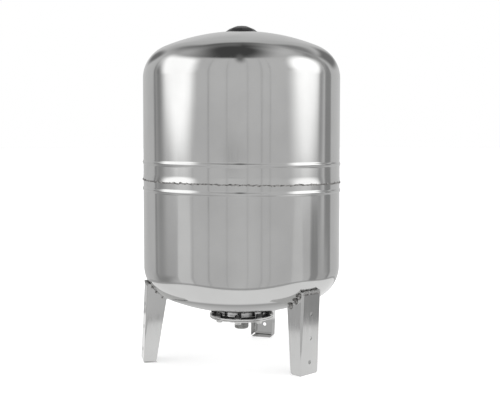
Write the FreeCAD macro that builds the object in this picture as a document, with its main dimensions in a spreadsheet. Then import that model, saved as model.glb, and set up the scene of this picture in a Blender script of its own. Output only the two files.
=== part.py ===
import FreeCAD, Part
import math
import os
import Sketcher

# Well pressure tank, in millimetres. +Z is up, and the origin is on the tank's axis at floor level.
# The front leg points to -Y, and the other two stand 120 degrees from it.

SIZES = [
    # the drawn shell: both domes are a crown arc and a knuckle arc
    ("tank_diameter", 450), ("shell_wall", 1.2), ("crown_radius", 460), ("knuckle_radius", 76),
    ("bottom_level", 108.9), ("top_level", 748.1), ("seam_height", 411),
    ("lower_bead_drop", 20), ("upper_bead_rise", 39.5), ("bead_width", 13), ("bead_height", 1.8),
    ("lap_height", 10), ("lap_clearance", 0.1), ("seam_weld_leg", 2.2),
    ("fit_gap", 0.1),
    # the neck collar, its bolted plate and the inlet
    ("flange_drop", 16.9), ("plate_thickness", 3), ("lip_thickness", 1), ("rim_thickness", 3),
    ("neck_diameter", 104), ("neck_wall", 3), ("neck_inside", 7), ("neck_weld_leg", 3),
    ("bolt_offset", 12), ("flange_margin", 10), ("edge_round", 0.8),
    ("bolt_count", 8), ("first_bolt_angle", 40.3), ("bolt_clearance", 1),
    ("bolt_diameter", 8), ("bolt_length", 16), ("hex_flats", 13), ("head_height", 5.3), ("nut_height", 6.5),
    ("washer_diameter", 16), ("washer_thickness", 1.6), ("thread_gap", 0.2),
    ("nipple_diameter", 33.25), ("nipple_bore", 26), ("nipple_reach", 27), ("nipple_round", 2),
    ("spigot_step", 1.125), ("nipple_stand", 2), ("nipple_weld_leg", 2),
    # the rubber bladder
    ("bladder_wall", 2), ("bladder_lip_gap", 1.5), ("bladder_neck_gap", 0.5), ("bladder_neck_rise", 7),
    ("bladder_room", 75), ("bladder_shoulder_drop", 19), ("bladder_straight", 204),
    # the folded legs
    ("leg_inset", 3), ("leg_drop", 35), ("leg_width", 56), ("leg_sheet", 2), ("leg_bend", 4),
    ("flange_depth_foot", 28), ("flange_depth_top", 49), ("foot_depth", 30), ("foot_relief", 4),
    ("leg_hole", 8.5), ("leg_hole_first", 27.5), ("leg_hole_pitch", 51.75), ("leg_gap", 0.3),
    ("front_azimuth", -90), ("front_lean_out", 0), ("front_lean_side", -8),
    ("right_azimuth", 30), ("right_lean_out", -2), ("right_lean_side", 7),
    ("left_azimuth", 150), ("left_lean_out", 9), ("left_lean_side", -4),
    ("tack_drop", 29), ("tack_pitch", 11.5), ("tack_radius", 3.8), ("tack_height", 3.2), ("tack_root", 1),
    ("top_weld_radius", 4.8), ("top_weld_inset", 2.5),
    # the air valve and its covers
    ("boss_diameter", 34), ("boss_stand", 8), ("boss_inside", 20), ("boss_recess", 24), ("boss_floor", 8),
    ("boss_weld_leg", 2.5), ("valve_thread", 10), ("valve_flats", 14), ("valve_hex_height", 4),
    ("valve_stem", 7.7), ("valve_stem_height", 16), ("valve_tail", 4), ("valve_bore", 4),
    ("seal_thickness", 1.2), ("core_length", 17), ("core_drop", 1.5), ("core_pin", 1.2), ("pin_drop", 0.3),
    ("dust_cap_wall", 1.35), ("dust_cap_height", 13), ("dust_cap_top", 1.6),
    ("seat_margin", 3.5), ("seat_gap", 2.5), ("seat_height", 1.5),
    ("cap_diameter", 65), ("cap_rim", 3.2), ("valve_room", 2.9), ("cap_wall", 2), ("cap_turn", 3),
    ("cap_low_radius", 31.6), ("cap_mid_radius", 24.5), ("cap_mid_height", 9.4), ("cap_top_radius", 13),
    ("cap_skirt_wall", 2), ("cap_skirt_lift", 3.4),
]

doc = FreeCAD.newDocument("WellPressureTank")
sheet = doc.addObject("Spreadsheet::Sheet", "Sizes")
for row, (alias, size) in enumerate(SIZES, start=1):
    sheet.set(f"A{row}", alias)
    sheet.set(f"B{row}", str(size))
    sheet.setAlias(f"B{row}", alias)
doc.recompute()


def cell(text):
    """Every alias in the text, written as a reference to the sheet."""
    names = sorted((alias for alias, size in SIZES), key=len, reverse=True)
    out = ""
    word = ""
    for letter in text + " ":
        if letter.isalnum() or letter == "_":
            word += letter
            continue
        out += ("Sizes." + word) if word in names else word
        word = ""
        out += letter
    return out.strip()


def value(text):
    return float(sheet.evalExpression(cell(text)))


def new_body(label):
    body = doc.addObject("PartDesign::Body", label)
    body.Label = label
    body.AllowCompound = True
    return body


def new_sketch(body, name, role, lift="0"):
    """A sketch on one of the body's own origin planes, lifted along the plane's normal."""
    sketch = body.newObject("Sketcher::SketchObject", name)
    plane = next(item for item in body.Origin.OriginFeatures if item.Role == role)
    sketch.AttachmentSupport = (plane, [""])
    sketch.MapMode = "FlatFace"
    sketch.setExpression("AttachmentOffset.Base.z", cell(lift))
    return sketch


def hold(sketch, kind, *where, size):
    """A driving constraint whose size is an expression on the sheet."""
    index = sketch.addConstraint(Sketcher.Constraint(kind, *where, value(size)))
    sketch.setExpression(f"Constraints[{index}]", cell(size))


def outline(sketch, path):
    """A closed outline of points: (x, y), reached by a line, or (x, y, centre x, centre y, turn), by an arc."""
    ends = []
    for index, point in enumerate(path):
        before = path[index - 1]
        start = FreeCAD.Vector(value(before[0]), value(before[1]), 0)
        end = FreeCAD.Vector(value(point[0]), value(point[1]), 0)
        if len(point) == 2:
            sketch.addGeometry(Part.LineSegment(start, end), False)
            ends.append((1, 2))
            continue
        centre = FreeCAD.Vector(value(point[2]), value(point[3]), 0)
        first, last = (start, end) if point[4] == "ccw" else (end, start)
        angles = [math.atan2(spot.y - centre.y, spot.x - centre.x) for spot in (first, last)]
        if angles[1] < angles[0]:
            angles[1] += 2 * math.pi
        circle = Part.Circle(centre, FreeCAD.Vector(0, 0, 1), (start - centre).Length)
        sketch.addGeometry(Part.ArcOfCircle(circle, angles[0], angles[1]), False)
        ends.append((1, 2) if point[4] == "ccw" else (2, 1))
    for index, point in enumerate(path):
        after = (index + 1) % len(path)
        joined = (index, ends[index][1], after, ends[after][0])
        sketch.addConstraint(Sketcher.Constraint("Coincident", *joined))
        hold(sketch, "DistanceX", -1, 1, index, ends[index][1], size=point[0])
        hold(sketch, "DistanceY", -1, 1, index, ends[index][1], size=point[1])
        if len(point) > 2:
            radius = f"sqrt((({point[0]}) - ({point[2]}))^2 + (({point[1]}) - ({point[3]}))^2)"
            hold(sketch, "Radius", index, size=radius)
    return sketch


def circle(sketch, x, y, diameter):
    centre = FreeCAD.Vector(value(x), value(y), 0)
    radius = value(f"({diameter}) / 2")
    index = sketch.addGeometry(Part.Circle(centre, FreeCAD.Vector(0, 0, 1), radius), False)
    hold(sketch, "DistanceX", -1, 1, index, 3, size=x)
    hold(sketch, "DistanceY", -1, 1, index, 3, size=y)
    hold(sketch, "Radius", index, size=f"({diameter}) / 2")
    return sketch


def revolve(body, name, path, kind="PartDesign::Revolution"):
    """An outline in the XZ plane, turned once round the Z axis."""
    sketch = outline(new_sketch(body, name + "_outline", "XZ_Plane"), path)
    feature = body.newObject(kind, name)
    feature.Profile = sketch
    feature.ReferenceAxis = (sketch, ["V_Axis"])
    feature.Angle = 360
    doc.recompute()
    return feature


def extrude(body, sketch, name, length, kind="PartDesign::Pad", reverse=False, middle=False):
    feature = body.newObject(kind, name)
    feature.Profile = sketch
    feature.setExpression("Length", cell(length))
    feature.Reversed = reverse
    if middle:
        feature.SideType = "Symmetric"
    doc.recompute()
    return feature


def ring_of(body, features, count):
    pattern = body.newObject("PartDesign::PolarPattern", "ring")
    pattern.Originals = features
    axis = next(item for item in body.Origin.OriginFeatures if item.Role == "Z_Axis")
    pattern.Axis = (axis, [""])
    pattern.Angle = 360
    pattern.setExpression("Occurrences", cell(count))
    body.Tip = pattern
    doc.recompute()
    return pattern


def polygon(x, y, radius, sides, turn):
    """The corners of an even polygon: its middle, its corner radius, and the first corner's angle."""
    corners = []
    for index in range(sides):
        angle = f"(({turn}) + {index * 360 / sides})"
        corners.append((f"({x}) + ({radius}) * cos({angle})", f"({y}) + ({radius}) * sin({angle})"))
    return corners


def hexagon(x, y, flats):
    return polygon(x, y, f"({flats}) / sqrt(3)", 6, "first_bolt_angle")


# The dome's geometry, shared by all that touches it
TANK_R = "(tank_diameter / 2)"
KNUCKLE_X = "(tank_diameter / 2 - knuckle_radius)"
REACH = "(crown_radius - knuckle_radius)"
DROP = f"sqrt({REACH}^2 - {KNUCKLE_X}^2)"
UPPER_CENTRE = "(top_level - crown_radius)"
LOWER_CENTRE = "(bottom_level + crown_radius)"
UPPER_TANGENT = f"({UPPER_CENTRE} + {DROP})"
LOWER_TANGENT = f"({LOWER_CENTRE} - {DROP})"


def crown_height(radius, offset):
    """Height over the crown arc's centre, at a radius, on the outer face moved out by the offset."""
    return f"sqrt((crown_radius + ({offset}))^2 - ({radius})^2)"


def junction(offset):
    """Where crown and knuckle meet: its radius, and its height over the crown arc's centre."""
    far = f"(crown_radius + ({offset}))"
    return f"{far} * {KNUCKLE_X} / {REACH}", f"{far} * {DROP} / {REACH}"


def upper_dome(radius, offset, outward):
    """The upper dome from a hole's radius to the tangent line, or back again."""
    meet_r, meet_h = junction(offset)
    meet = (meet_r, f"{UPPER_CENTRE} + {meet_h}")
    tip = (radius, f"{UPPER_CENTRE} + {crown_height(radius, offset)}")
    edge = (f"{TANK_R} + ({offset})", UPPER_TANGENT)
    if outward:
        return [tip, meet + ("0", UPPER_CENTRE, "cw"), edge + (KNUCKLE_X, UPPER_TANGENT, "cw")]
    return [edge, meet + (KNUCKLE_X, UPPER_TANGENT, "ccw"), tip + ("0", UPPER_CENTRE, "ccw")]


def lower_dome(radius, offset, outward):
    meet_r, meet_h = junction(offset)
    meet = (meet_r, f"{LOWER_CENTRE} - {meet_h}")
    tip = (radius, f"{LOWER_CENTRE} - {crown_height(radius, offset)}")
    edge = (f"{TANK_R} + ({offset})", LOWER_TANGENT)
    if outward:
        return [tip, meet + ("0", LOWER_CENTRE, "ccw"), edge + (KNUCKLE_X, LOWER_TANGENT, "ccw")]
    return [edge, meet + (KNUCKLE_X, LOWER_TANGENT, "cw"), tip + ("0", LOWER_CENTRE, "cw")]


def bead(level, offset, upward):
    """A pressed bead: a low arc that stands out of the wall, passed going up or going down."""
    radius = "((bead_width / 2)^2 + bead_height^2) / (2 * bead_height)"
    wall = f"{TANK_R} + ({offset})"
    low = (wall, f"{level} - bead_width / 2")
    high = (wall, f"{level} + bead_width / 2")
    centre = (f"{wall} + bead_height - {radius}", level)
    if upward:
        return [low, high + centre + ("ccw",)]
    return [high, low + centre + ("cw",)]


LAP_STEP = "(shell_wall + lap_clearance)"
LAP_TOP = "(seam_height + lap_height)"
UPPER_BEAD = "(seam_height + upper_bead_rise)"
LOWER_BEAD = "(seam_height - lower_bead_drop)"
INSIDE = "-shell_wall"


def make_upper_shell():
    """The upper half: dome, wall, bead, and the joggled edge that laps over the lower half."""
    body = new_body("upper_shell")
    hole = "boss_diameter / 2 + fit_gap"
    path = upper_dome(hole, "0", True) + bead(UPPER_BEAD, "0", False)
    path += [(TANK_R, f"{LAP_TOP} + {LAP_STEP}"), (f"{TANK_R} + {LAP_STEP}", LAP_TOP)]
    path += [(f"{TANK_R} + {LAP_STEP}", "seam_height"), (f"{TANK_R} + lap_clearance", "seam_height")]
    path += [(f"{TANK_R} + lap_clearance", f"{LAP_TOP} - shell_wall / 2")]
    path += [(f"{TANK_R} - shell_wall", f"{LAP_TOP} - shell_wall / 2 + {LAP_STEP}")]
    path += bead(UPPER_BEAD, INSIDE, True) + upper_dome(hole, INSIDE, False)
    revolve(body, "half", path)
    return body


def make_lower_shell():
    """The lower half: dome, wall, bead, and a plain edge inside the lap."""
    body = new_body("lower_shell")
    hole = "neck_diameter / 2 + fit_gap"
    rim = f"{LAP_TOP} - shell_wall - {LAP_STEP}"
    path = lower_dome(hole, "0", True) + bead(LOWER_BEAD, "0", True)
    path += [(TANK_R, rim), (f"{TANK_R} - shell_wall", rim)]
    path += bead(LOWER_BEAD, INSIDE, False) + lower_dome(hole, INSIDE, False)
    revolve(body, "half", path)
    return body


def corner_weld(label, radius, level, leg, up):
    """A blunt fillet of weld in the corner at a radius and level, above the level or below it."""
    body = new_body(label)
    sign = "+" if up else "-"
    blunt = f"({leg}) / sqrt(2)"
    path = [(f"{radius}", f"{level}"), (f"{radius} + {leg}", f"{level}")]
    path += [(f"{radius} + {blunt}", f"{level} {sign} {blunt}"), (f"{radius}", f"{level} {sign} {leg}")]
    revolve(body, "bead", path)
    return body


PLATE_LEVEL = "(bottom_level - flange_drop)"
RIM_LEVEL = f"({PLATE_LEVEL} + plate_thickness + lip_thickness)"
RIM_TOP = f"({RIM_LEVEL} + rim_thickness)"
NECK_R = "(neck_diameter / 2)"
NECK_BORE_R = "(neck_diameter / 2 - neck_wall)"
NECK_MEET = f"({LOWER_CENTRE} - {crown_height(NECK_R, '0')})"
NECK_TOP = f"({NECK_MEET} + neck_inside)"
BOLT_R = "(neck_diameter / 2 + bolt_offset)"
FLANGE_R = f"({BOLT_R} + flange_margin)"
BOLT_HOLE = "(bolt_diameter + bolt_clearance)"
BOLT_X = f"{BOLT_R} * cos(first_bolt_angle)"
BOLT_Y = f"{BOLT_R} * sin(first_bolt_angle)"
SPIGOT_R = "(nipple_diameter / 2 - spigot_step)"


def bolt_holes(body, level, depth):
    """The ring of bolt holes, cut upwards from a level."""
    before = body.Shape.Volume
    sketch = circle(new_sketch(body, "hole_centre", "XY_Plane", level), BOLT_X, BOLT_Y, BOLT_HOLE)
    pocket = extrude(body, sketch, "hole", depth, "PartDesign::Pocket", reverse=True)
    ring_of(body, [pocket], "bolt_count")
    expected = value(f"bolt_count * pi * ({BOLT_HOLE} / 2)^2 * ({depth})")
    cut = before - body.Shape.Volume
    if abs(cut - expected) > 1:
        raise ValueError(f"{body.Label}: the bolt holes cut {cut:.1f}, not {expected:.1f}")


def make_collar():
    """The neck: a drawn tube that is welded into the lower dome, with its foot turned out as a bolted rim."""
    body = new_body("collar")
    turn = "(rim_thickness)"
    outer = f"{NECK_R} + {turn}"
    path = [(f"{NECK_BORE_R} + {turn}", RIM_LEVEL), (FLANGE_R, RIM_LEVEL), (FLANGE_R, RIM_TOP)]
    path += [(outer, RIM_TOP), (NECK_R, f"{RIM_TOP} + {turn}", outer, f"{RIM_TOP} + {turn}", "cw")]
    path += [(NECK_R, NECK_TOP), (NECK_BORE_R, NECK_TOP), (NECK_BORE_R, f"{RIM_LEVEL} + {turn}")]
    path[0] = path[0] + (f"{NECK_BORE_R} + {turn}", f"{RIM_LEVEL} + {turn}", "ccw")
    revolve(body, "neck", path)
    bolt_holes(body, RIM_LEVEL, "rim_thickness")
    return body


def make_flange_plate():
    """The round plate that clamps the bladder's lip and carries the inlet."""
    body = new_body("flange_plate")
    bore = f"{SPIGOT_R} + fit_gap"
    top = f"{PLATE_LEVEL} + plate_thickness"
    eased, lift = f"{FLANGE_R} - edge_round", f"{PLATE_LEVEL} + edge_round"
    path = [(bore, PLATE_LEVEL), (eased, PLATE_LEVEL), (FLANGE_R, lift, eased, lift, "ccw")]
    path += [(FLANGE_R, top), (bore, top)]
    revolve(body, "plate", path)
    bolt_holes(body, PLATE_LEVEL, "plate_thickness")
    return body


def make_inlet_nipple():
    """The male threaded inlet, drawn at the thread's outer diameter, with a spigot in the plate."""
    body = new_body("inlet_nipple")
    outer = "nipple_diameter / 2"
    foot = f"{PLATE_LEVEL} - nipple_reach"
    top = f"{PLATE_LEVEL} + plate_thickness + nipple_stand"
    rounded = (outer, f"{foot} + nipple_round", f"{outer} - nipple_round", f"{foot} + nipple_round", "ccw")
    path = [("nipple_bore / 2", foot), (f"{outer} - nipple_round", foot), rounded]
    path += [(outer, PLATE_LEVEL), (SPIGOT_R, PLATE_LEVEL), (SPIGOT_R, top), ("nipple_bore / 2", top)]
    revolve(body, "nipple", path)
    return body


def make_flange_bolts():
    body = new_body("flange_bolts")
    spot = new_sketch(body, "head_outline", "XY_Plane", f"{PLATE_LEVEL} - head_height")
    head = extrude(body, outline(spot, hexagon(BOLT_X, BOLT_Y, "hex_flats")), "head", "head_height")
    spot = new_sketch(body, "shank_outline", "XY_Plane", f"{PLATE_LEVEL} - head_height / 2")
    circle(spot, BOLT_X, BOLT_Y, "bolt_diameter")
    shank = extrude(body, spot, "shank", "bolt_length + head_height / 2")
    ring_of(body, [head, shank], "bolt_count")
    return body


def make_flange_washers():
    body = new_body("flange_washers")
    sketch = circle(new_sketch(body, "outline", "XY_Plane", RIM_TOP), BOLT_X, BOLT_Y, "washer_diameter")
    circle(sketch, BOLT_X, BOLT_Y, "bolt_diameter + thread_gap")
    ring_of(body, [extrude(body, sketch, "washer", "washer_thickness")], "bolt_count")
    return body


def make_flange_nuts():
    body = new_body("flange_nuts")
    sketch = new_sketch(body, "outline", "XY_Plane", f"{RIM_TOP} + washer_thickness")
    outline(sketch, hexagon(BOLT_X, BOLT_Y, "hex_flats"))
    circle(sketch, BOLT_X, BOLT_Y, "bolt_diameter + thread_gap")
    ring_of(body, [extrude(body, sketch, "nut", "nut_height")], "bolt_count")
    return body


def make_bladder():
    """The rubber bladder: a clamped lip, a neck inside the collar, and a closed bag."""
    body = new_body("bladder")
    lip, lip_low = f"{BOLT_R} - {BOLT_HOLE} / 2 - bladder_lip_gap", f"{PLATE_LEVEL} + plate_thickness"
    neck, neck_top = f"({NECK_BORE_R} - bladder_neck_gap)", f"({NECK_TOP} + bladder_neck_rise)"
    bag, shoulder = f"({TANK_R} - bladder_room)", f"({LOWER_TANGENT} - bladder_shoulder_drop)"
    straight_top = f"({shoulder} + bladder_straight)"
    dome_top = f"{straight_top} + {bag}"
    path = [(f"{neck} - bladder_wall", lip_low), (lip, lip_low), (lip, RIM_LEVEL), (neck, RIM_LEVEL)]
    path += [(neck, neck_top), (bag, shoulder), (bag, straight_top)]
    path += [("0", dome_top, "0", straight_top, "ccw"), ("0", f"{dome_top} - bladder_wall")]
    inner = f"{bag} - bladder_wall"
    path += [(inner, straight_top, "0", straight_top, "cw"), (inner, f"{shoulder} + bladder_wall / 2")]
    path += [(f"{neck} - bladder_wall", f"{neck_top} + bladder_wall / 2")]
    revolve(body, "bag", path)
    return body


LEG_RADIUS = "(tank_diameter / 2 - leg_inset)"
LEG_TOP = f"({LOWER_TANGENT} - leg_drop)"


def make_leg(name):
    """A folded leg: a web, two side flanges cut to the dome, and a foot plate folded inwards."""
    body = new_body(f"leg_{name}")
    out, side = f"{name}_lean_out", f"{name}_lean_side"
    face = f"({LEG_RADIUS} + {out})"
    half, back = "leg_width / 2", f"{LEG_RADIUS} - flange_depth_top - leg_bend"
    round_in = "(leg_bend - leg_sheet)"

    def side_path(inset, bend, turns):
        """The outer or the inner face of the fold, from one free edge to the other."""
        x = f"{face} - ({inset})"
        left, right = f"{side} - {half} + ({inset})", f"{side} + {half} - ({inset})"
        path = [(back, left), (f"{x} - {bend}", left)]
        path += [(x, f"{left} + {bend}", f"{x} - {bend}", f"{left} + {bend}", "ccw")]
        path += [(x, f"{right} - {bend}")]
        path += [(f"{x} - {bend}", right, f"{x} - {bend}", f"{right} - {bend}", "ccw"), (back, right)]
        return path if turns == "ccw" else turned_back(path)

    section = side_path("0", "leg_bend", "ccw") + side_path("leg_sheet", round_in, "cw")
    channel = extrude(body, outline(new_sketch(body, "section", "XY_Plane"), section), "channel", LEG_TOP)
    channel.UseCustomVector = True
    channel.AlongSketchNormal = True
    channel.setExpression("Direction.x", cell(f"-{out}"))
    channel.setExpression("Direction.y", cell(f"-{side}"))
    channel.setExpression("Direction.z", cell(LEG_TOP))
    doc.recompute()

    # the channel stops short of the foot plate
    whole = f"{face} + leg_bend"
    sole = [("0", "-leg_width"), (whole, "-leg_width"), (whole, "leg_width"), ("0", "leg_width")]
    extrude(body, outline(new_sketch(body, "relief", "XY_Plane"), sole), "relief_cut", "foot_relief",
            "PartDesign::Pocket", reverse=True)

    # the free edges of the side flanges taper towards the foot
    low, high = f"{face} - flange_depth_foot", f"{LEG_RADIUS} - flange_depth_top"
    taper = [("0", "0"), (low, "0"), (high, LEG_TOP), ("0", LEG_TOP)]
    extrude(body, outline(new_sketch(body, "taper", "XZ_Plane"), taper), "taper_cut", "4 * leg_width",
            "PartDesign::Pocket", middle=True)

    # the foot plate and the stretch of web that it is folded from
    overlap = "(2 * leg_bend + foot_relief)"
    lean = f"{out} * {overlap} / {LEG_TOP}"
    foot = [(f"{face} - {lean}", overlap), (f"{face} - {lean} - leg_sheet", overlap)]
    foot += [(f"{face} - leg_sheet", "leg_bend")]
    foot += [(f"{face} - leg_bend", "leg_sheet", f"{face} - leg_bend", "leg_bend", "cw")]
    foot += [(f"{face} - foot_depth", "leg_sheet"), (f"{face} - foot_depth", "0")]
    foot += [(f"{face} - leg_bend", "0")]
    foot += [(face, "leg_bend", f"{face} - leg_bend", "leg_bend", "ccw")]
    spot = new_sketch(body, "foot", "XZ_Plane", f"-{side}")
    extrude(body, outline(spot, foot), "foot_plate", "leg_width - 2 * leg_bend", middle=True)

    # the sheet is cut back along the dome
    above = f"{LOWER_TANGENT} + tank_diameter"
    form = lower_dome("0", "leg_gap", True) + [(f"{TANK_R} + leg_gap", above), ("0", above)]
    revolve(body, "dome_cut", form, "PartDesign::Groove")

    # three holes on the middle of the web
    sketch = new_sketch(body, "hole_centres", "YZ_Plane")
    for index in range(3):
        level = f"leg_hole_first + {index} * leg_hole_pitch"
        circle(sketch, f"{side} * (1 - ({level}) / {LEG_TOP})", level, "leg_hole")
    before = body.Shape.Volume
    extrude(body, sketch, "holes", f"{face} + leg_bend", "PartDesign::Pocket", reverse=True)
    if before - body.Shape.Volume < 1:
        raise ValueError(f"{body.Label}: no hole was cut")
    azimuth = FreeCAD.Rotation(FreeCAD.Vector(0, 0, 1), value(f"{name}_azimuth"))
    body.Placement = FreeCAD.Placement(FreeCAD.Vector(), azimuth)
    doc.recompute()
    return body


def turned_back(path):
    """The same outline, walked the other way."""
    spots = [point[:2] for point in path]
    back = [spots[-1]]
    for index in range(len(path) - 1, 0, -1):
        point = path[index]
        arc = (point[2], point[3], "cw" if point[4] == "ccw" else "ccw") if len(point) > 2 else ()
        back.append(spots[index - 1] + arc)
    return back


def on_dome(height, across):
    """How far out the lower dome's outer face is, at a height and a distance to the side."""
    sink = value(LOWER_TANGENT) - height
    radius = value(KNUCKLE_X) + math.sqrt(max(value("knuckle_radius") ** 2 - sink ** 2, 0))
    return math.sqrt(radius ** 2 - across ** 2)


def make_leg_welds(name, leg, form):
    """Three tacks on each side flange and a bead on the web's top edge, where they meet the dome."""
    turn = leg.Placement.Rotation
    side, top, half = value(f"{name}_lean_side"), value(LEG_TOP), value("leg_width / 2")
    pieces = []
    for across in (-1, 1):
        outward = FreeCAD.Rotation(FreeCAD.Vector(0, 0, 1), FreeCAD.Vector(0, across, 0))
        for index in range(3):
            height = value(f"{LEG_TOP} - tack_drop + {index} * tack_pitch")
            place = side * (1 - height / top) + across * (half - value("tack_root"))
            tack = doc.addObject("Part::Cone", f"{name}_tack")
            tack.setExpression("Radius1", cell("tack_radius"))
            tack.setExpression("Radius2", cell("tack_radius / 2"))
            tack.setExpression("Height", cell("tack_root + tack_height"))
            spot = FreeCAD.Vector(on_dome(height, place), place, height)
            tack.Placement = FreeCAD.Placement(turn.multVec(spot), turn.multiply(outward))
            pieces.append(tack)
    rod = doc.addObject("Part::Cylinder", f"{name}_top_bead")
    rod.setExpression("Radius", cell("top_weld_radius"))
    rod.setExpression("Height", cell("leg_width - 2 * top_weld_inset"))
    along = FreeCAD.Rotation(FreeCAD.Vector(0, 0, 1), FreeCAD.Vector(0, 1, 0))
    middle_of_sheet = value(f"{LEG_RADIUS} - 1.5 * leg_sheet")
    start = FreeCAD.Vector(middle_of_sheet, value("top_weld_inset - leg_width / 2"), top)
    rod.Placement = FreeCAD.Placement(turn.multVec(start), turn.multiply(along))
    pieces.append(rod)
    group = doc.addObject("Part::Compound", f"{name}_weld_metal")
    group.Links = pieces
    outside = doc.addObject("Part::Cut", f"{name}_weld_outside")
    outside.Base = group
    outside.Tool = leg
    welds = doc.addObject("Part::Cut", f"leg_{name}_welds")
    welds.Base = outside
    welds.Tool = form
    welds.Label = f"leg_{name}_welds"
    doc.recompute()
    return welds


def make_shell_form():
    """The lower shell's outer form, filled: the tool that shapes the legs' welds."""
    body = new_body("shell_form")
    revolve(body, "form", lower_dome("0", "0", True) + [(TANK_R, "seam_height"), ("0", "seam_height")])
    return body


APEX = "top_level"
SEAT_TOP = f"({APEX} + seat_height)"
BOSS_R = "(boss_diameter / 2)"
BOSS_TOP = f"({APEX} + boss_stand)"
RECESS_FLOOR = f"({APEX} - boss_inside + boss_floor)"
HEX_LEVEL = f"({RECESS_FLOOR} + seal_thickness)"
STEM_LEVEL = f"({HEX_LEVEL} + valve_hex_height)"
STEM_TOP = f"({STEM_LEVEL} + valve_stem_height)"
DUST_CAP_TOP = f"({STEM_TOP} + thread_gap + dust_cap_top)"
CAP_CEILING = f"({DUST_CAP_TOP} + valve_room)"


def make_valve_boss():
    """The turned boss in the top of the dome: a recess for the valve, and a rim that the cap screws on."""
    body = new_body("valve_boss")
    foot = f"{APEX} - boss_inside"
    bore = "valve_thread / 2 + fit_gap"
    path = [(bore, foot), (BOSS_R, foot), (BOSS_R, BOSS_TOP), ("boss_recess / 2", BOSS_TOP)]
    path += [("boss_recess / 2", RECESS_FLOOR), (bore, RECESS_FLOOR)]
    revolve(body, "boss", path)
    return body


def make_valve_seal():
    body = new_body("valve_seal")
    bore, outer = "valve_thread / 2 + fit_gap", "valve_flats / 2"
    path = [(bore, RECESS_FLOOR), (outer, RECESS_FLOOR), (outer, HEX_LEVEL), (bore, HEX_LEVEL)]
    revolve(body, "ring", path)
    return body


def make_valve_body():
    """The air valve: a threaded tail through the boss, a hexagon and the filling stem, bored through."""
    body = new_body("valve_body")
    spot = new_sketch(body, "hexagon", "XY_Plane", HEX_LEVEL)
    extrude(body, outline(spot, hexagon("0", "0", "valve_flats")), "collar", "valve_hex_height")
    tail = f"{APEX} - boss_inside - valve_tail"
    path = [("0", tail), ("valve_thread / 2", tail), ("valve_thread / 2", HEX_LEVEL)]
    path += [("valve_stem / 2", STEM_LEVEL), ("valve_stem / 2", STEM_TOP), ("0", STEM_TOP)]
    revolve(body, "stem", path)
    bore = [("0", tail), ("valve_bore / 2", tail), ("valve_bore / 2", STEM_TOP), ("0", STEM_TOP)]
    revolve(body, "bore", bore, "PartDesign::Groove")
    return body


def make_valve_core():
    """The spring loaded insert with its pin."""
    body = new_body("valve_core")
    barrel, pin = "valve_bore / 2 - fit_gap", "core_pin / 2"
    foot, shoulder = f"{STEM_TOP} - core_length", f"{STEM_TOP} - core_drop"
    tip = f"{STEM_TOP} - pin_drop"
    path = [("0", foot), (barrel, foot), (barrel, shoulder), (pin, shoulder), (pin, tip), ("0", tip)]
    revolve(body, "core", path)
    return body


def make_valve_dust_cap():
    """The small cap screwed on the stem."""
    body = new_body("valve_dust_cap")
    bore = "valve_stem / 2 + fit_gap"
    outer, ceiling = f"{bore} + dust_cap_wall", f"{STEM_TOP} + thread_gap"
    mouth = f"{DUST_CAP_TOP} - dust_cap_height"
    path = [(bore, mouth), (outer, mouth), (outer, DUST_CAP_TOP), ("0", DUST_CAP_TOP)]
    path += [("0", ceiling), (bore, ceiling)]
    revolve(body, "cap", path)
    return body


def make_cap_seat():
    """The reinforcing ring on the dome, flat on top, that the cap closes on."""
    body = new_body("cap_seat")
    inner, outer = f"{BOSS_R} + boss_weld_leg + seat_gap", "cap_diameter / 2 + seat_margin"
    path = [(inner, f"{UPPER_CENTRE} + {crown_height(inner, 'fit_gap')}")]
    path += [(outer, f"{UPPER_CENTRE} + {crown_height(outer, 'fit_gap')}", "0", UPPER_CENTRE, "cw")]
    path += [(outer, SEAT_TOP), (inner, SEAT_TOP)]
    revolve(body, "ring", path)
    return body


def make_top_cap():
    """The moulded cap: a round rim, two tiers of eight facets, a flat top, and a threaded skirt inside."""
    body = new_body("top_cap")
    rim = circle(new_sketch(body, "rim_outline", "XY_Plane", SEAT_TOP), "0", "0", "cap_diameter")
    extrude(body, rim, "rim", "cap_rim")
    tiers = []
    for radius, level in (("cap_low_radius", f"{SEAT_TOP} + cap_rim"),
                          ("cap_mid_radius", f"{SEAT_TOP} + cap_mid_height"),
                          ("cap_top_radius", f"{CAP_CEILING} + cap_wall")):
        spot = new_sketch(body, "tier", "XY_Plane", level)
        tiers.append(outline(spot, polygon("0", "0", radius, 8, "cap_turn")))
    loft = body.newObject("PartDesign::AdditiveLoft", "facets")
    loft.Profile = tiers[0]
    loft.Sections = tiers[1:]
    loft.Ruled = True
    doc.recompute()
    flat = "cos(22.5)"
    hollow = [("0", SEAT_TOP), ("cap_diameter / 2 - cap_wall", SEAT_TOP)]
    hollow += [(f"cap_low_radius * {flat} - cap_wall", f"{SEAT_TOP} + cap_rim")]
    hollow += [(f"cap_mid_radius * {flat} - cap_wall", f"{SEAT_TOP} + cap_mid_height - cap_wall")]
    hollow += [(f"cap_top_radius * {flat} - cap_wall / 2", CAP_CEILING), ("0", CAP_CEILING)]
    revolve(body, "hollow", hollow, "PartDesign::Groove")
    inner, root = f"{BOSS_R} + thread_gap", f"{SEAT_TOP} + cap_mid_height + cap_wall / 4"
    outer, mouth = f"{inner} + cap_skirt_wall", f"{SEAT_TOP} + cap_skirt_lift"
    revolve(body, "skirt", [(inner, mouth), (outer, mouth), (outer, root), (inner, root)])
    return body


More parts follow.
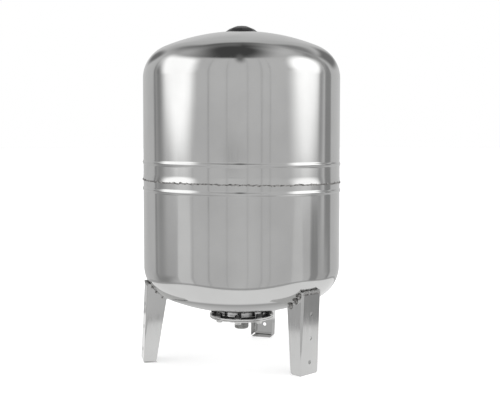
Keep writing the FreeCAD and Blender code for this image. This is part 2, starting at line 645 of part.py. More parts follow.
def make_all():
    parts = [make_upper_shell(), make_lower_shell()]
    parts.append(corner_weld("girth_weld", TANK_R, "seam_height", "seam_weld_leg", False))
    parts += [make_bladder(), make_collar(), make_flange_plate(), make_inlet_nipple()]
    parts.append(corner_weld("collar_weld", NECK_R, NECK_MEET, "neck_weld_leg", False))
    plate_top = f"({PLATE_LEVEL} + plate_thickness)"
    parts.append(corner_weld("nipple_weld", SPIGOT_R, plate_top, "nipple_weld_leg", True))
    parts.append(make_flange_bolts())
    parts += [make_flange_washers(), make_flange_nuts()]
    form = make_shell_form()
    for name in ("front", "right", "left"):
        leg = make_leg(name)
        parts += [leg, make_leg_welds(name, leg, form)]
    parts += [make_cap_seat(), make_valve_boss()]
    boss_level = f"({UPPER_CENTRE} + {crown_height(BOSS_R, '0')})"
    parts.append(corner_weld("boss_weld", BOSS_R, boss_level, "boss_weld_leg", True))
    parts += [make_valve_seal(), make_valve_body(), make_valve_core(), make_valve_dust_cap(), make_top_cap()]
    return parts


def write_all(parts):
    doc.recompute()
    for item in doc.Objects:
        if "Invalid" in item.State or "Error" in item.State:
            raise ValueError(f"{item.Label} failed: {item.State}")
    os.makedirs("parts", exist_ok=True)
    for item in parts:
        if item.Shape.isNull() or not item.Shape.isValid():
            raise ValueError(f"{item.Label} has no valid shape")
    for item in parts:
        item.Shape.exportStep(f"parts/{item.Label}.step")
        box = item.Shape.BoundBox
        print(f"{item.Label}: {len(item.Shape.Solids)} solids, {item.Shape.Volume / 1000:.1f} cm3,"
              f" z {box.ZMin:.1f} to {box.ZMax:.1f}, {box.XLength:.1f} x {box.YLength:.1f}")


write_all(make_all())
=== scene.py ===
import bmesh
import bpy
import math
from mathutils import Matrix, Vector


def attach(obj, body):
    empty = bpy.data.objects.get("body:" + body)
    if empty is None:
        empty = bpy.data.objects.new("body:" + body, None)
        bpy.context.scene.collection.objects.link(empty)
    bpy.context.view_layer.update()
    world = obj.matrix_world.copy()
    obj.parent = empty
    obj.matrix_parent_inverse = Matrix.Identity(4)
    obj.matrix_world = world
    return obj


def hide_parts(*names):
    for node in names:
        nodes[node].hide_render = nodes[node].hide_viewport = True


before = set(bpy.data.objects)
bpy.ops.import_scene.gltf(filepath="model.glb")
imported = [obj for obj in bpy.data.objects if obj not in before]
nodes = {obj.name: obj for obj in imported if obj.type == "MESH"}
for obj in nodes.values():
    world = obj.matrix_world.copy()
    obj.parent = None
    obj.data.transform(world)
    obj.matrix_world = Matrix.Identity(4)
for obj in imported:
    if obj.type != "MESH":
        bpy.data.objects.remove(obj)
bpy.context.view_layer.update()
scene = bpy.context.scene
fullTurn = 2 * math.pi
print("frame loaded,", len(nodes), "nodes")

# The camera stands where the tank is seen with its front leg on the right
cameraSettings = {
    "azimuth": -132.67, "distance": 1.989, "height": 0.509, "tiltDown": 3.11,
    "lens": 62.05, "sensor": 36.0, "shiftX": 0.0169, "shiftY": -0.0323,
}


def addCamera(s):
    data = bpy.data.cameras.new("camera")
    data.lens = s["lens"]
    data.sensor_width = s["sensor"]
    data.sensor_fit = "HORIZONTAL"
    data.shift_x = s["shiftX"]
    data.shift_y = s["shiftY"]
    camera = bpy.data.objects.new("camera", data)
    scene.collection.objects.link(camera)
    azimuth = math.radians(s["azimuth"])
    camera.location = (s["distance"] * math.cos(azimuth), s["distance"] * math.sin(azimuth), s["height"])
    camera.rotation_euler = (math.radians(90 - s["tiltDown"]), 0, azimuth + math.pi / 2)
    scene.camera = camera


addCamera(cameraSettings)
print("camera placed")


# Small helpers for working the way one does by hand

def clearSelection():
    if bpy.context.object and bpy.context.object.mode != "OBJECT":
        bpy.ops.object.mode_set(mode="OBJECT")
    bpy.ops.object.select_all(action="DESELECT")


def pick(piece):
    clearSelection()
    piece.select_set(True)
    bpy.context.view_layer.objects.active = piece


def editMode(piece, kind="FACE"):
    pick(piece)
    bpy.ops.object.mode_set(mode="EDIT")
    bpy.ops.mesh.select_mode(type=kind)
    bpy.ops.mesh.select_all(action="DESELECT")


def selectWhere(piece, kind, test):
    # kind is verts, edges or faces
    mesh = bmesh.from_edit_mesh(piece.data)
    for item in getattr(mesh, kind):
        if test(item):
            item.select_set(True)
    mesh.select_flush_mode()
    bmesh.update_edit_mesh(piece.data)


def objectMode():
    bpy.ops.object.mode_set(mode="OBJECT")


def settle(piece, name):
    # the object back to the origin, with its place in its mesh
    pick(piece)
    bpy.ops.object.transform_apply(location=True, rotation=True, scale=True)
    piece.name = name
    piece.data.name = name
    return piece


def applyModifier(piece, kind, **settings):
    pick(piece)
    modifier = piece.modifiers.new(kind.lower(), kind)
    for key, setting in settings.items():
        setattr(modifier, key, setting)
    bpy.ops.object.modifier_apply(modifier=modifier.name)


def tidyMesh(piece, distance=1e-6):
    editMode(piece, "VERT")
    bpy.ops.mesh.select_all(action="SELECT")
    bpy.ops.mesh.remove_doubles(threshold=distance)
    bpy.ops.mesh.normals_make_consistent(inside=False)
    objectMode()


def spinProfile(name, points, steps):
    # a single vertex, extruded from point to point (radius, height), then spun once round Z
    spots = [Vector((radius, 0, height)) for radius, height in points]
    clearSelection()
    bpy.ops.mesh.primitive_plane_add(size=0.001, location=spots[0])
    piece = settle(bpy.context.object, name)
    editMode(piece, "VERT")
    bpy.ops.mesh.select_all(action="SELECT")
    bpy.ops.mesh.merge(type="CENTER")
    for before, after in zip(spots, spots[1:]):
        bpy.ops.mesh.extrude_vertices_move(TRANSFORM_OT_translate={"value": after - before})
    bpy.ops.mesh.select_all(action="SELECT")
    bpy.ops.mesh.spin(steps=steps, angle=fullTurn, center=(0, 0, 0), axis=(0, 0, 1))
    objectMode()
    tidyMesh(piece)
    return piece


def smoothShade(piece, degrees=30):
    pick(piece)
    bpy.ops.object.shade_smooth_by_angle(angle=math.radians(degrees))


def joinPieces(pieces, name):
    pick(pieces[0])
    for piece in pieces:
        piece.select_set(True)
    bpy.ops.object.join()
    return settle(bpy.context.object, name)


def copyPiece(piece, name):
    twin = bpy.data.objects.new(name, piece.data.copy())
    scene.collection.objects.link(twin)
    return twin


def finishPiece(piece, material, slot, *replaced):
    piece.data.materials.clear()
    piece.data.materials.append(material)
    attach(piece, "root")
    if replaced:
        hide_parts(*replaced)


# Finishes: bright rolled sheet, turned steel, weld metal, rubber, brass and moulded plastic

def linkedNode(tree, kind, **settings):
    node = tree.nodes.new(kind)
    for key, setting in settings.items():
        setattr(node, key, setting)
    return node


def mathNode(tree, operation, *given):
    node = linkedNode(tree, "ShaderNodeMath", operation=operation)
    for socket, value in zip(node.inputs, given):
        if isinstance(value, (int, float)):
            socket.default_value = value
        else:
            tree.links.new(value, socket)
    return node.outputs[0]


def softStep(tree, given, edge, soft):
    # 0 below the edge and 1 above it
    node = linkedNode(tree, "ShaderNodeMapRange", interpolation_type="SMOOTHSTEP")
    node.inputs["From Min"].default_value = edge - soft
    node.inputs["From Max"].default_value = edge + soft
    tree.links.new(given, node.inputs["Value"])
    return node.outputs["Result"]


def softBand(tree, given, low, high, soft):
    rise = softStep(tree, given, low, soft)
    fall = mathNode(tree, "SUBTRACT", 1, softStep(tree, given, high, soft))
    return mathNode(tree, "MULTIPLY", rise, fall)


def stretchedNoise(tree, grain, scale, detail):
    # noise in object space, stretched by the grain: (x, y, z) of how fine it is along each axis
    place = linkedNode(tree, "ShaderNodeTexCoord")
    mapping = linkedNode(tree, "ShaderNodeMapping")
    mapping.inputs["Scale"].default_value = grain
    pattern = linkedNode(tree, "ShaderNodeTexNoise")
    pattern.inputs["Scale"].default_value = scale
    pattern.inputs["Detail"].default_value = detail
    tree.links.new(place.outputs["Object"], mapping.inputs["Vector"])
    tree.links.new(mapping.outputs["Vector"], pattern.inputs["Vector"])
    return pattern.outputs["Fac"]


def spread(tree, factor, low, high, fromLow=0.3, fromHigh=0.7):
    rangeNode = linkedNode(tree, "ShaderNodeMapRange")
    rangeNode.inputs["From Min"].default_value = fromLow
    rangeNode.inputs["From Max"].default_value = fromHigh
    rangeNode.inputs["To Min"].default_value = low
    rangeNode.inputs["To Max"].default_value = high
    tree.links.new(factor, rangeNode.inputs["Value"])
    return rangeNode.outputs["Result"]


def mixColours(tree, factor, first, second):
    mix = linkedNode(tree, "ShaderNodeMix", data_type="RGBA")
    mix.inputs["A"].default_value = (*first, 1)
    mix.inputs["B"].default_value = (*second, 1)
    tree.links.new(factor, mix.inputs["Factor"])
    return mix.outputs["Result"]


def makeFinish(name, s):
    # s: colours, roughness range, grain, waves and metal of one finish
    material = bpy.data.materials.new(name)
    material.use_nodes = True
    tree = material.node_tree
    shader = tree.nodes["Principled BSDF"]
    shader.inputs["Metallic"].default_value = s["metal"]
    blotches = stretchedNoise(tree, (1, 1, 1), s["blotchScale"], 4)
    grain = stretchedNoise(tree, s["grain"], s["grainScale"], 3)
    tree.links.new(mixColours(tree, spread(tree, blotches, 0, 1), s["dark"], s["light"]), shader.inputs["Base Color"])
    tree.links.new(spread(tree, grain, s["smooth"], s["rough"]), shader.inputs["Roughness"])
    fine = linkedNode(tree, "ShaderNodeBump")
    fine.inputs["Strength"].default_value = s["grainStrength"]
    fine.inputs["Distance"].default_value = s["grainDepth"]
    waves = linkedNode(tree, "ShaderNodeBump")
    waves.inputs["Strength"].default_value = s["waveStrength"]
    waves.inputs["Distance"].default_value = s["waveDepth"]
    swell = stretchedNoise(tree, s["waveGrain"], s["waveScale"], 1)
    tree.links.new(grain, fine.inputs["Height"])
    tree.links.new(swell, waves.inputs["Height"])
    tree.links.new(fine.outputs["Normal"], waves.inputs["Normal"])
    tree.links.new(waves.outputs["Normal"], shader.inputs["Normal"])
    return material


sheetLook = {
    "metal": 1.0, "dark": (0.555, 0.555, 0.55), "light": (0.61, 0.61, 0.605), "blotchScale": 9,
    "grain": (1, 1, 0.03), "grainScale": 420, "smooth": 0.06, "rough": 0.12,
    "grainStrength": 0.05, "grainDepth": 0.0002,
    "waveGrain": (1, 1, 0.5), "waveScale": 9, "waveStrength": 0.12, "waveDepth": 0.002,
}
legLook = dict(sheetLook, grain=(1, 1, 0.1), grainScale=300, smooth=0.09, rough=0.16, grainStrength=0.06,
               waveGrain=(1, 1, 0.6), waveScale=14, waveStrength=0.12)
turnedLook = dict(sheetLook, grain=(0.2, 0.2, 1), grainScale=500, smooth=0.16, rough=0.3, grainStrength=0.15,
                  waveStrength=0.1)
threadLook = dict(turnedLook, dark=(0.42, 0.42, 0.41), light=(0.55, 0.55, 0.54), smooth=0.22, rough=0.38)
fastenerLook = dict(sheetLook, dark=(0.6, 0.6, 0.59), light=(0.7, 0.7, 0.69), grain=(1, 1, 1), smooth=0.14, rough=0.26)
rimLook = dict(turnedLook, dark=(0.76, 0.76, 0.75), light=(0.84, 0.84, 0.83), smooth=0.34, rough=0.46)
# painted shade: near-black nuts, for the shade they sit in under the tank
nutShadeLook = dict(fastenerLook, dark=(0.05, 0.05, 0.05), light=(0.10, 0.10, 0.098), smooth=0.3, rough=0.42)
weldLook = dict(sheetLook, dark=(0.08, 0.077, 0.074), light=(0.55, 0.54, 0.53), blotchScale=190,
                grain=(1, 1, 1), grainScale=700, smooth=0.3, rough=0.6, grainStrength=0.5, grainDepth=0.0004)
rubberLook = dict(sheetLook, metal=0.0, dark=(0.018, 0.018, 0.018), light=(0.035, 0.035, 0.034),
                  grain=(1, 1, 1), smooth=0.5, rough=0.7, grainStrength=0.2)
brassLook = dict(sheetLook, dark=(0.62, 0.45, 0.2), light=(0.78, 0.6, 0.3), grain=(0.3, 0.3, 1), smooth=0.2, rough=0.32)
plasticLook = dict(sheetLook, metal=0.0, dark=(0.012, 0.012, 0.013), light=(0.024, 0.024, 0.025),
                   grain=(1, 1, 1), grainScale=900, smooth=0.22, rough=0.4, grainStrength=0.12, waveStrength=0.0)


def addRing(material, s):
    # another colour, roughness and metal on a ring round the tank's axis, between two radii and two heights
    tree = material.node_tree
    shader = tree.nodes["Principled BSDF"]
    place = linkedNode(tree, "ShaderNodeTexCoord")
    parts = linkedNode(tree, "ShaderNodeSeparateXYZ")
    tree.links.new(place.outputs["Object"], parts.inputs["Vector"])
    squares = [mathNode(tree, "MULTIPLY", parts.outputs[axis], parts.outputs[axis]) for axis in ("X", "Y")]
    radius = mathNode(tree, "SQRT", mathNode(tree, "ADD", *squares))
    across = softBand(tree, radius, s["inner"], s["outer"], s["soft"])
    upward = softBand(tree, parts.outputs["Z"], s["low"], s["high"], s["levelSoft"])
    mask = mathNode(tree, "MULTIPLY", across, upward)
    changes = (("Base Color", "RGBA", "RGBA", (*s["colour"], 1)), ("Roughness", "FLOAT", "VALUE", s["rough"]),
               ("Metallic", "FLOAT", "VALUE", s["metal"]))
    for socket, kind, endType, value in changes:
        before = shader.inputs[socket]
        mix = linkedNode(tree, "ShaderNodeMix", data_type=kind)
        first, second = [end for end in mix.inputs if end.type == endType][-2:]
        if before.is_linked:
            tree.links.new(before.links[0].from_socket, first)
        else:
            first.default_value = before.default_value
        second.default_value = value
        tree.links.new(mask, mix.inputs["Factor"])
        result = [end for end in mix.outputs if end.type == endType][0]
        tree.links.new(result, before)


sheetSteel = makeFinish("sheetSteel", sheetLook)
legSteel = makeFinish("legSteel", legLook)
turnedSteel = makeFinish("turnedSteel", turnedLook)
threadSteel = makeFinish("threadSteel", threadLook)
fastenerSteel = makeFinish("fastenerSteel", fastenerLook)
weldMetal = makeFinish("weldMetal", weldLook)
blackRubber = makeFinish("blackRubber", rubberLook)
turnedBrass = makeFinish("turnedBrass", brassLook)
blackPlastic = makeFinish("blackPlastic", plasticLook)
# painted shade: black on the collar's top face between the neck and the rim, under the tank, and a paler rim
neckShadeRing = {"inner": 0.0525, "outer": 0.0685, "low": 0.0985, "high": 0.0996, "soft": 0.0006,
             "levelSoft": 0.0001, "colour": (0.012, 0.012, 0.012), "rough": 0.55, "metal": 0.0}
paleRing = {"inner": 0.0722, "outer": 0.08, "low": 0.09, "high": 0.1, "soft": 0.0006,
            "levelSoft": 0.0001, "colour": (0.80, 0.80, 0.79), "rough": 0.42, "metal": 1.0}
# the legs' top beads get one even grey, smoother than the weld and without its dark blotches
brightRing = {"inner": -1.0, "outer": 1.0, "low": 0.1765, "high": 0.3, "soft": 0.0006,
              "levelSoft": 0.0001, "colour": (0.36, 0.36, 0.355), "rough": 0.30, "metal": 1.0}
legWeldMetal = makeFinish("legWeldMetal", weldLook)
addRing(legWeldMetal, brightRing)
collarSteel = makeFinish("collarSteel", turnedLook)
# painted shade on the collar's top face under the tank
addRing(collarSteel, neckShadeRing)
addRing(collarSteel, paleRing)
rimSteel = makeFinish("rimSteel", rimLook)
nutShadeSteel = makeFinish("nutShadeSteel", nutShadeLook)
nodeFinishes = {
    "collar": collarSteel, "flange_plate": rimSteel, "cap_seat": turnedSteel, "valve_boss": turnedSteel,
    "leg_front": legSteel, "leg_right": legSteel, "leg_left": legSteel,
    "nipple_weld": weldMetal, "boss_weld": weldMetal, "valve_seal": blackRubber,
    "valve_body": turnedBrass, "valve_core": turnedBrass, "valve_dust_cap": blackPlastic,
}
for nodeName, finish in nodeFinishes.items():
    nodes[nodeName].material_slots[0].material = finish
print("finishes made")


# The tank's two drawn halves
tank = {
    "radius": 0.225, "wall": 0.0012, "crownRadius": 0.460, "knuckleRadius": 0.076,
    "bottom": 0.1089, "top": 0.7481, "seam": 0.411, "bossHole": 0.0171, "neckHole": 0.0521,
    "lowerBead": 0.391, "upperBead": 0.4505, "beadWidth": 0.0120, "beadHeight": 0.0020,
    "flare": 0.0013, "flareHeight": 0.015, "rimInset": 0.0012, "rimHeight": 0.0075,
    "steps": 320, "crownSteps": 36, "knuckleSteps": 40, "wallStep": 0.009, "wallEase": 0.0008, "beadSteps": 14,
}
# How the pressed bands run out of level, along the line from left to right as the camera sees it
lean = {"bead": 0.0019, "seam": 0.0014, "seamReach": 0.009, "full": 0.05, "none": 0.12,
        "waves": ((3, 0.0003, 0.4), (5, 0.0002, 2.1), (11, 0.00012, 0.9))}


def domeStretch(hole, offset):
    # (radius, drop below the apex) from the hole out to the wall, for a face moved out by the offset
    knee = tank["radius"] - tank["knuckleRadius"]
    reach = tank["crownRadius"] - tank["knuckleRadius"]
    meet = math.asin(knee / reach)
    kneeDrop = tank["crownRadius"] - reach * math.cos(meet)
    crown, knuckle = tank["crownRadius"] + offset, tank["knuckleRadius"] + offset
    start = math.asin(hole / crown)
    points = []
    for index in range(tank["crownSteps"]):
        angle = start + (meet - start) * index / tank["crownSteps"]
        points.append((crown * math.sin(angle), tank["crownRadius"] - crown * math.cos(angle)))
    for index in range(tank["knuckleSteps"] + 1):
        angle = meet + (math.pi / 2 - meet) * index / tank["knuckleSteps"]
        points.append((knee + knuckle * math.sin(angle), kneeDrop - knuckle * math.cos(angle)))
    return points


def wallStretch(start, end):
    # heights from start to end, closer together near its ends, with the start left out and the end kept
    count = max(4, round(abs(end - start) / tank["wallStep"]))
    closer = 0.5 * tank["wallEase"] / abs(end - start)
    shares = [closer] + [index / count for index in range(1, count)] + [1 - closer, 1]
    return [(tank["radius"], start + (end - start) * share) for share in shares]


def beadStretch(level, direction):
    # a pressed bead, which swells out of the wall and back
    points = []
    for index in range(1, tank["beadSteps"] + 1):
        along = 2 * index / tank["beadSteps"] - 1
        swell = tank["beadHeight"] * (0.5 + 0.5 * math.cos(math.pi * along))
        points.append((tank["radius"] + swell, level + direction * along * tank["beadWidth"] / 2))
    return points


def lapStretch():
    # the upper half's edge, which flares over the lower half
    points = []
    for index in range(1, tank["beadSteps"] + 1):
        along = index / tank["beadSteps"]
        height = tank["seam"] + tank["flareHeight"] * (1 - along)
        points.append((tank["radius"] + tank["flare"] * along ** 2, height))
    return points


def rimStretch():
    # the lower half's edge, drawn in a little under the lap
    points = []
    for index in range(1, tank["beadSteps"] + 1):
        along = index / tank["beadSteps"]
        points.append((tank["radius"] - tank["rimInset"] * along, tank["seam"] + tank["rimHeight"] * along))
    return points


def wallOfSheet(outerWall, hole, apex, direction):
    # a closed section: the outer face from the hole to the edge, then the inner face back
    outerDome = [(radius, apex + direction * drop) for radius, drop in domeStretch(hole, 0)]
    innerDome = [(radius, apex + direction * drop) for radius, drop in domeStretch(hole, -tank["wall"])]
    innerWall = [(radius - tank["wall"], height) for radius, height in outerWall]
    section = outerDome + outerWall + innerWall[::-1] + innerDome[::-1]
    return section + [section[0]]


def outOfLevel(piece):
    # the bands and the seam run slightly out of level and a little wavy, as drawn sheet does
    right = math.radians(cameraSettings["azimuth"] + 90)
    across = Vector((math.cos(right), math.sin(right), 0))
    for vertex in piece.data.vertices:
        away = vertex.co.z - tank["seam"]
        hold = (lean["none"] - abs(away)) / (lean["none"] - lean["full"])
        hold = min(max(hold, 0), 1)
        hold = hold * hold * (3 - 2 * hold)
        if hold == 0:
            continue
        seamPart = math.exp(-(away / lean["seamReach"]) ** 2)
        side = vertex.co.dot(across) / tank["radius"]
        angle = math.atan2(vertex.co.y, vertex.co.x)
        shift = -side * (lean["bead"] + lean["seam"] * seamPart)
        for turns, height, phase in lean["waves"]:
            shift += height * math.sin(turns * angle + phase)
        vertex.co.z += shift * hold


tangentDrop = domeStretch(tank["bossHole"], 0)[-1][1]
halfBead = tank["beadWidth"] / 2
upperWall = wallStretch(tank["top"] - tangentDrop, tank["upperBead"] + halfBead)
upperWall += beadStretch(tank["upperBead"], -1)
upperWall += wallStretch(tank["upperBead"] - halfBead, tank["seam"] + tank["flareHeight"]) + lapStretch()
lowerWall = wallStretch(tank["bottom"] + tangentDrop, tank["lowerBead"] - halfBead)
lowerWall += beadStretch(tank["lowerBead"], 1)
lowerWall += wallStretch(tank["lowerBead"] + halfBead, tank["seam"]) + rimStretch()
upperHalf = spinProfile("upperHalf", wallOfSheet(upperWall, tank["bossHole"], tank["top"], -1), tank["steps"])
lowerHalf = spinProfile("lowerHalf", wallOfSheet(lowerWall, tank["neckHole"], tank["bottom"], 1), tank["steps"])
for half, nodeName in ((upperHalf, "upper_shell"), (lowerHalf, "lower_shell")):
    outOfLevel(half)
    smoothShade(half, 40)
    finishPiece(half, sheetSteel, "tank_steel", nodeName)
print("tank halves spun,", len(upperHalf.data.polygons) + len(lowerHalf.data.polygons), "faces")


# Weld metal: a copy of each plain bead, made lumpy
seamWeld = {"voxel": 0.00055, "lumps": 0.0026, "lumpSize": 0.0035, "ripple": 0.0046, "rippleSize": 0.008, "smooth": 1,
            "swell": 0.0004, "reach": 0.2270}
neckWeld = {"voxel": 0.0006, "lumps": 0.0012, "lumpSize": 0.004, "ripple": 0.001, "rippleSize": 0.006, "smooth": 2}
legWeld = {"voxel": 0.0005, "lumps": 0.0026, "lumpSize": 0.0034, "ripple": 0.0022, "rippleSize": 0.005, "smooth": 1,
           "tackTop": 0.1765, "tackSwell": 0.0018, "tackLevels": (0.151, 0.1625, 0.174), "tackStretch": 1.6,
           "tackDrop": 0.003, "beadSwell": -0.0006, "plainLevel": 0.18, "beadLevel": 0.1790,
           "beadSquash": 0.55}
leftLegWeld = dict(legWeld, tackSwell=-0.0004, tackStretch=1.1, tackDrop=0.001)


def lumpyTexture(name, size, depth):
    texture = bpy.data.textures.new(name, "CLOUDS")
    texture.noise_scale = size
    texture.noise_depth = depth
    return texture


def lumpyWeld(nodeName, name, s):
    piece = copyPiece(nodes[nodeName], name)
    tidyMesh(piece)
    applyModifier(piece, "REMESH", mode="VOXEL", voxel_size=s["voxel"])
    if "swell" in s:
        applyModifier(piece, "DISPLACE", strength=s["swell"], mid_level=0)
    if "tackTop" in s:
        # the tacks are plumper and taller than their plain solids and the top bead is thinner
        normals = [vertex.normal.copy() for vertex in piece.data.vertices]
        for vertex, normal in zip(piece.data.vertices, normals):
            if vertex.co.z < s["tackTop"]:
                level = min(s["tackLevels"], key=lambda height: abs(height - vertex.co.z))
                vertex.co += normal * s["tackSwell"]
                vertex.co.z = level - s["tackDrop"] + (vertex.co.z - level) * s["tackStretch"]
            else:
                vertex.co += normal * s["beadSwell"]
                vertex.co.z = s["beadLevel"] + (vertex.co.z - s["plainLevel"]) * s["beadSquash"]
    lumps = lumpyTexture(name + "Lumps", s["lumpSize"], 2)
    ripple = lumpyTexture(name + "Ripple", s["rippleSize"], 1)
    applyModifier(piece, "DISPLACE", texture=lumps, texture_coords="LOCAL", strength=s["lumps"], mid_level=0.5)
    applyModifier(piece, "DISPLACE", texture=ripple, texture_coords="LOCAL", direction="Z", strength=s["ripple"],
                  mid_level=0.5)
    applyModifier(piece, "SMOOTH", factor=0.5, iterations=s["smooth"])
    pick(piece)
    bpy.ops.object.shade_smooth()
    return piece


def holdWithin(piece, reach):
    # no lump stands further out than the reach
    for vertex in piece.data.vertices:
        radius = math.hypot(vertex.co.x, vertex.co.y)
        if radius > reach:
            vertex.co.x *= reach / radius
            vertex.co.y *= reach / radius


girthWeld = lumpyWeld("girth_weld", "girthWeld", seamWeld)
outOfLevel(girthWeld)
holdWithin(girthWeld, seamWeld["reach"])
finishPiece(girthWeld, weldMetal, "weld_steel", "girth_weld")
collarWeld = lumpyWeld("collar_weld", "collarWeld", neckWeld)
finishPiece(collarWeld, weldMetal, "weld_steel", "collar_weld")
for side, s in (("front", legWeld), ("right", legWeld), ("left", leftLegWeld)):
    weld = lumpyWeld(f"leg_{side}_welds", f"{side}LegWelds", s)
    finishPiece(weld, legWeldMetal, "weld_steel", f"leg_{side}_welds")
print("welds made")


# The bladder, seen only at its lip between the plate and the collar
bladder = {"steps": 96, "wall": 0.002, "bagRadius": 0.150, "neckRadius": 0.0485, "lipRadius": 0.058,
           "lipLow": 0.095, "lipHigh": 0.096, "neckTop": 0.1258, "shoulder": 0.196, "straightTop": 0.400,
           "blend": 0.012, "arcSteps": 18, "bendSteps": 6}


def bendAt(before, corner, after, reach, count):
    # a corner rounded by a curve that starts and ends at the reach from it
    before, corner, after = Vector(before), Vector(corner), Vector(after)
    start = corner + (before - corner).normalized() * reach
    end = corner + (after - corner).normalized() * reach
    points = []
    for index in range(count + 1):
        along = index / count
        spot = (1 - along) ** 2 * start + 2 * along * (1 - along) * corner + along ** 2 * end
        points.append((spot.x, spot.y))
    return points


def bagFace(s, inset):
    neck, bag = s["neckRadius"] - inset, s["bagRadius"] - inset
    corners = [(neck, s["lipLow"]), (neck, s["neckTop"] + inset / 2), (bag, s["shoulder"] + inset / 2),
               (bag, s["straightTop"])]
    face = bendAt(*corners[0:3], s["blend"], s["bendSteps"]) + bendAt(*corners[1:4], s["blend"], s["bendSteps"])
    for index in range(s["arcSteps"] + 1):
        angle = math.pi / 2 * index / s["arcSteps"]
        face.append((bag * math.cos(angle), s["straightTop"] + bag * math.sin(angle)))
    return face


def makeBladder(s):
    outer, inner = bagFace(s, 0), bagFace(s, s["wall"])
    lip = [(s["neckRadius"] - s["wall"], s["lipLow"]), (s["lipRadius"], s["lipLow"]),
           (s["lipRadius"], s["lipHigh"]), (s["neckRadius"], s["lipHigh"])]
    piece = spinProfile("bladderBag", lip + outer + inner[::-1] + [lip[0]], s["steps"])
    smoothShade(piece)
    finishPiece(piece, blackRubber, "rubber", "bladder")


makeBladder(bladder)
print("bladder made")


# The threaded inlet: a tube with a helical ridge
inlet = {"outer": 0.016625, "root": 0.0153, "bore": 0.013, "spigot": 0.0155, "foot": 0.065, "plate": 0.092,
         "top": 0.097, "round": 0.0016, "pitch": 0.002309, "crest": 0.0003, "steps": 96, "threadSteps": 48,
         "boreEdge": 0.0004, "toothSink": 0.0002, "toothShare": 0.86}


def makeInlet(s):
    corner = [(s["root"] - s["round"] * (1 - math.sin(angle)), s["foot"] + s["round"] * (1 - math.cos(angle)))
              for angle in (math.radians(degrees) for degrees in range(0, 91, 15))]
    section = [(s["bore"] + s["boreEdge"], s["foot"])] + corner
    section += [(s["root"], s["plate"]), (s["spigot"], s["plate"]), (s["spigot"], s["top"]), (s["bore"], s["top"])]
    section += [(s["bore"], s["foot"] + s["boreEdge"]), section[0]]
    tube = spinProfile("inletTube", section, s["steps"])
    # one tooth of the thread, closed, then carried up the helix
    half = s["pitch"] / 2
    start = s["foot"] + s["round"]
    inner, flank = s["root"] - s["toothSink"], half * s["toothShare"]
    tooth = [(inner, start - flank), (s["outer"], start - s["crest"] / 2),
             (s["outer"], start + s["crest"] / 2), (inner, start + flank)]
    clearSelection()
    bpy.ops.mesh.primitive_plane_add(size=0.001, rotation=(math.pi / 2, 0, 0))
    ridge = settle(bpy.context.object, "inletThread")
    for vertex, (radius, height) in zip(ridge.data.vertices, (tooth[0], tooth[1], tooth[3], tooth[2])):
        vertex.co = (radius, 0, height)
    turns = int((s["plate"] - start - half) / s["pitch"])
    editMode(ridge, "FACE")
    bpy.ops.mesh.select_all(action="SELECT")
    bpy.ops.mesh.delete(type="ONLY_FACE")
    objectMode()
    applyModifier(ridge, "SCREW", angle=fullTurn, screw_offset=s["pitch"], iterations=turns,
                  steps=s["threadSteps"], render_steps=s["threadSteps"], use_merge_vertices=False)
    editMode(ridge, "EDGE")
    selectWhere(ridge, "edges", lambda edge: edge.is_boundary)
    bpy.ops.mesh.fill_holes(sides=4)
    bpy.ops.mesh.select_all(action="SELECT")
    bpy.ops.mesh.normals_make_consistent(inside=False)
    objectMode()
    piece = joinPieces([tube, ridge], "inletNipple")
    smoothShade(piece, 25)
    finishPiece(piece, threadSteel, "thread_steel", "inlet_nipple")


makeInlet(inlet)
print("inlet made")


# Bolts, washers and nuts round the flange
fasteners = {"circle": 0.064, "first": 40.3, "count": 8, "flats": 0.013, "shank": 0.004,
             "headLow": 0.0867, "plate": 0.092, "rim": 0.099, "washer": 0.0016, "washerRadius": 0.008,
             "nut": 0.0065, "tip": 0.108, "chamfer": 0.0007, "threadPitch": 0.00125, "threadDepth": 0.0006,
             "threadGap": 0.0005, "sink": 0.001, "bore": 0.0041, "boreFlare": 0.0008, "washerEdge": 0.0002,
             "turnedShare": 0.9, "turnedSteps": 48, "shankSteps": 32, "washerSteps": 48}


def hexPrism(name, s, low, high):
    # a hexagonal prism with its corners chamfered top and bottom
    clearSelection()
    bpy.ops.mesh.primitive_cylinder_add(vertices=6, radius=s["flats"] / math.sqrt(3), depth=high - low,
                                        location=(0, 0, (low + high) / 2))
    prism = settle(bpy.context.object, name)
    clearSelection()
    radius = s["flats"] / 2 + s["chamfer"] * s["turnedShare"]
    bpy.ops.mesh.primitive_cylinder_add(vertices=s["turnedSteps"], radius=radius, depth=high - low,
                                        location=(0, 0, (low + high) / 2))
    turned = settle(bpy.context.object, name + "Turned")
    editMode(turned, "EDGE")
    rims = (low, high)
    selectWhere(turned, "edges", lambda edge: any(all(abs(v.co.z - rim) < 1e-5 for v in edge.verts) for rim in rims))
    bpy.ops.mesh.bevel(offset=s["chamfer"], segments=1)
    objectMode()
    applyModifier(prism, "BOOLEAN", operation="INTERSECT", object=turned, solver="EXACT")
    bpy.data.objects.remove(turned)
    return prism


def ringCopies(piece, s, name):
    # copies of one fastener, each with its own mesh, set round the bolt circle and turned with it
    copies = []
    for index in range(s["count"]):
        angle = math.radians(s["first"] + 360 * index / s["count"])
        twin = copyPiece(piece, f"{name}{index}")
        twin.rotation_euler = (0, 0, angle)
        twin.location = (s["circle"] * math.cos(angle), s["circle"] * math.sin(angle), 0)
        copies.append(settle(twin, f"{name}{index}"))
    bpy.data.objects.remove(piece)
    return joinPieces(copies, name)


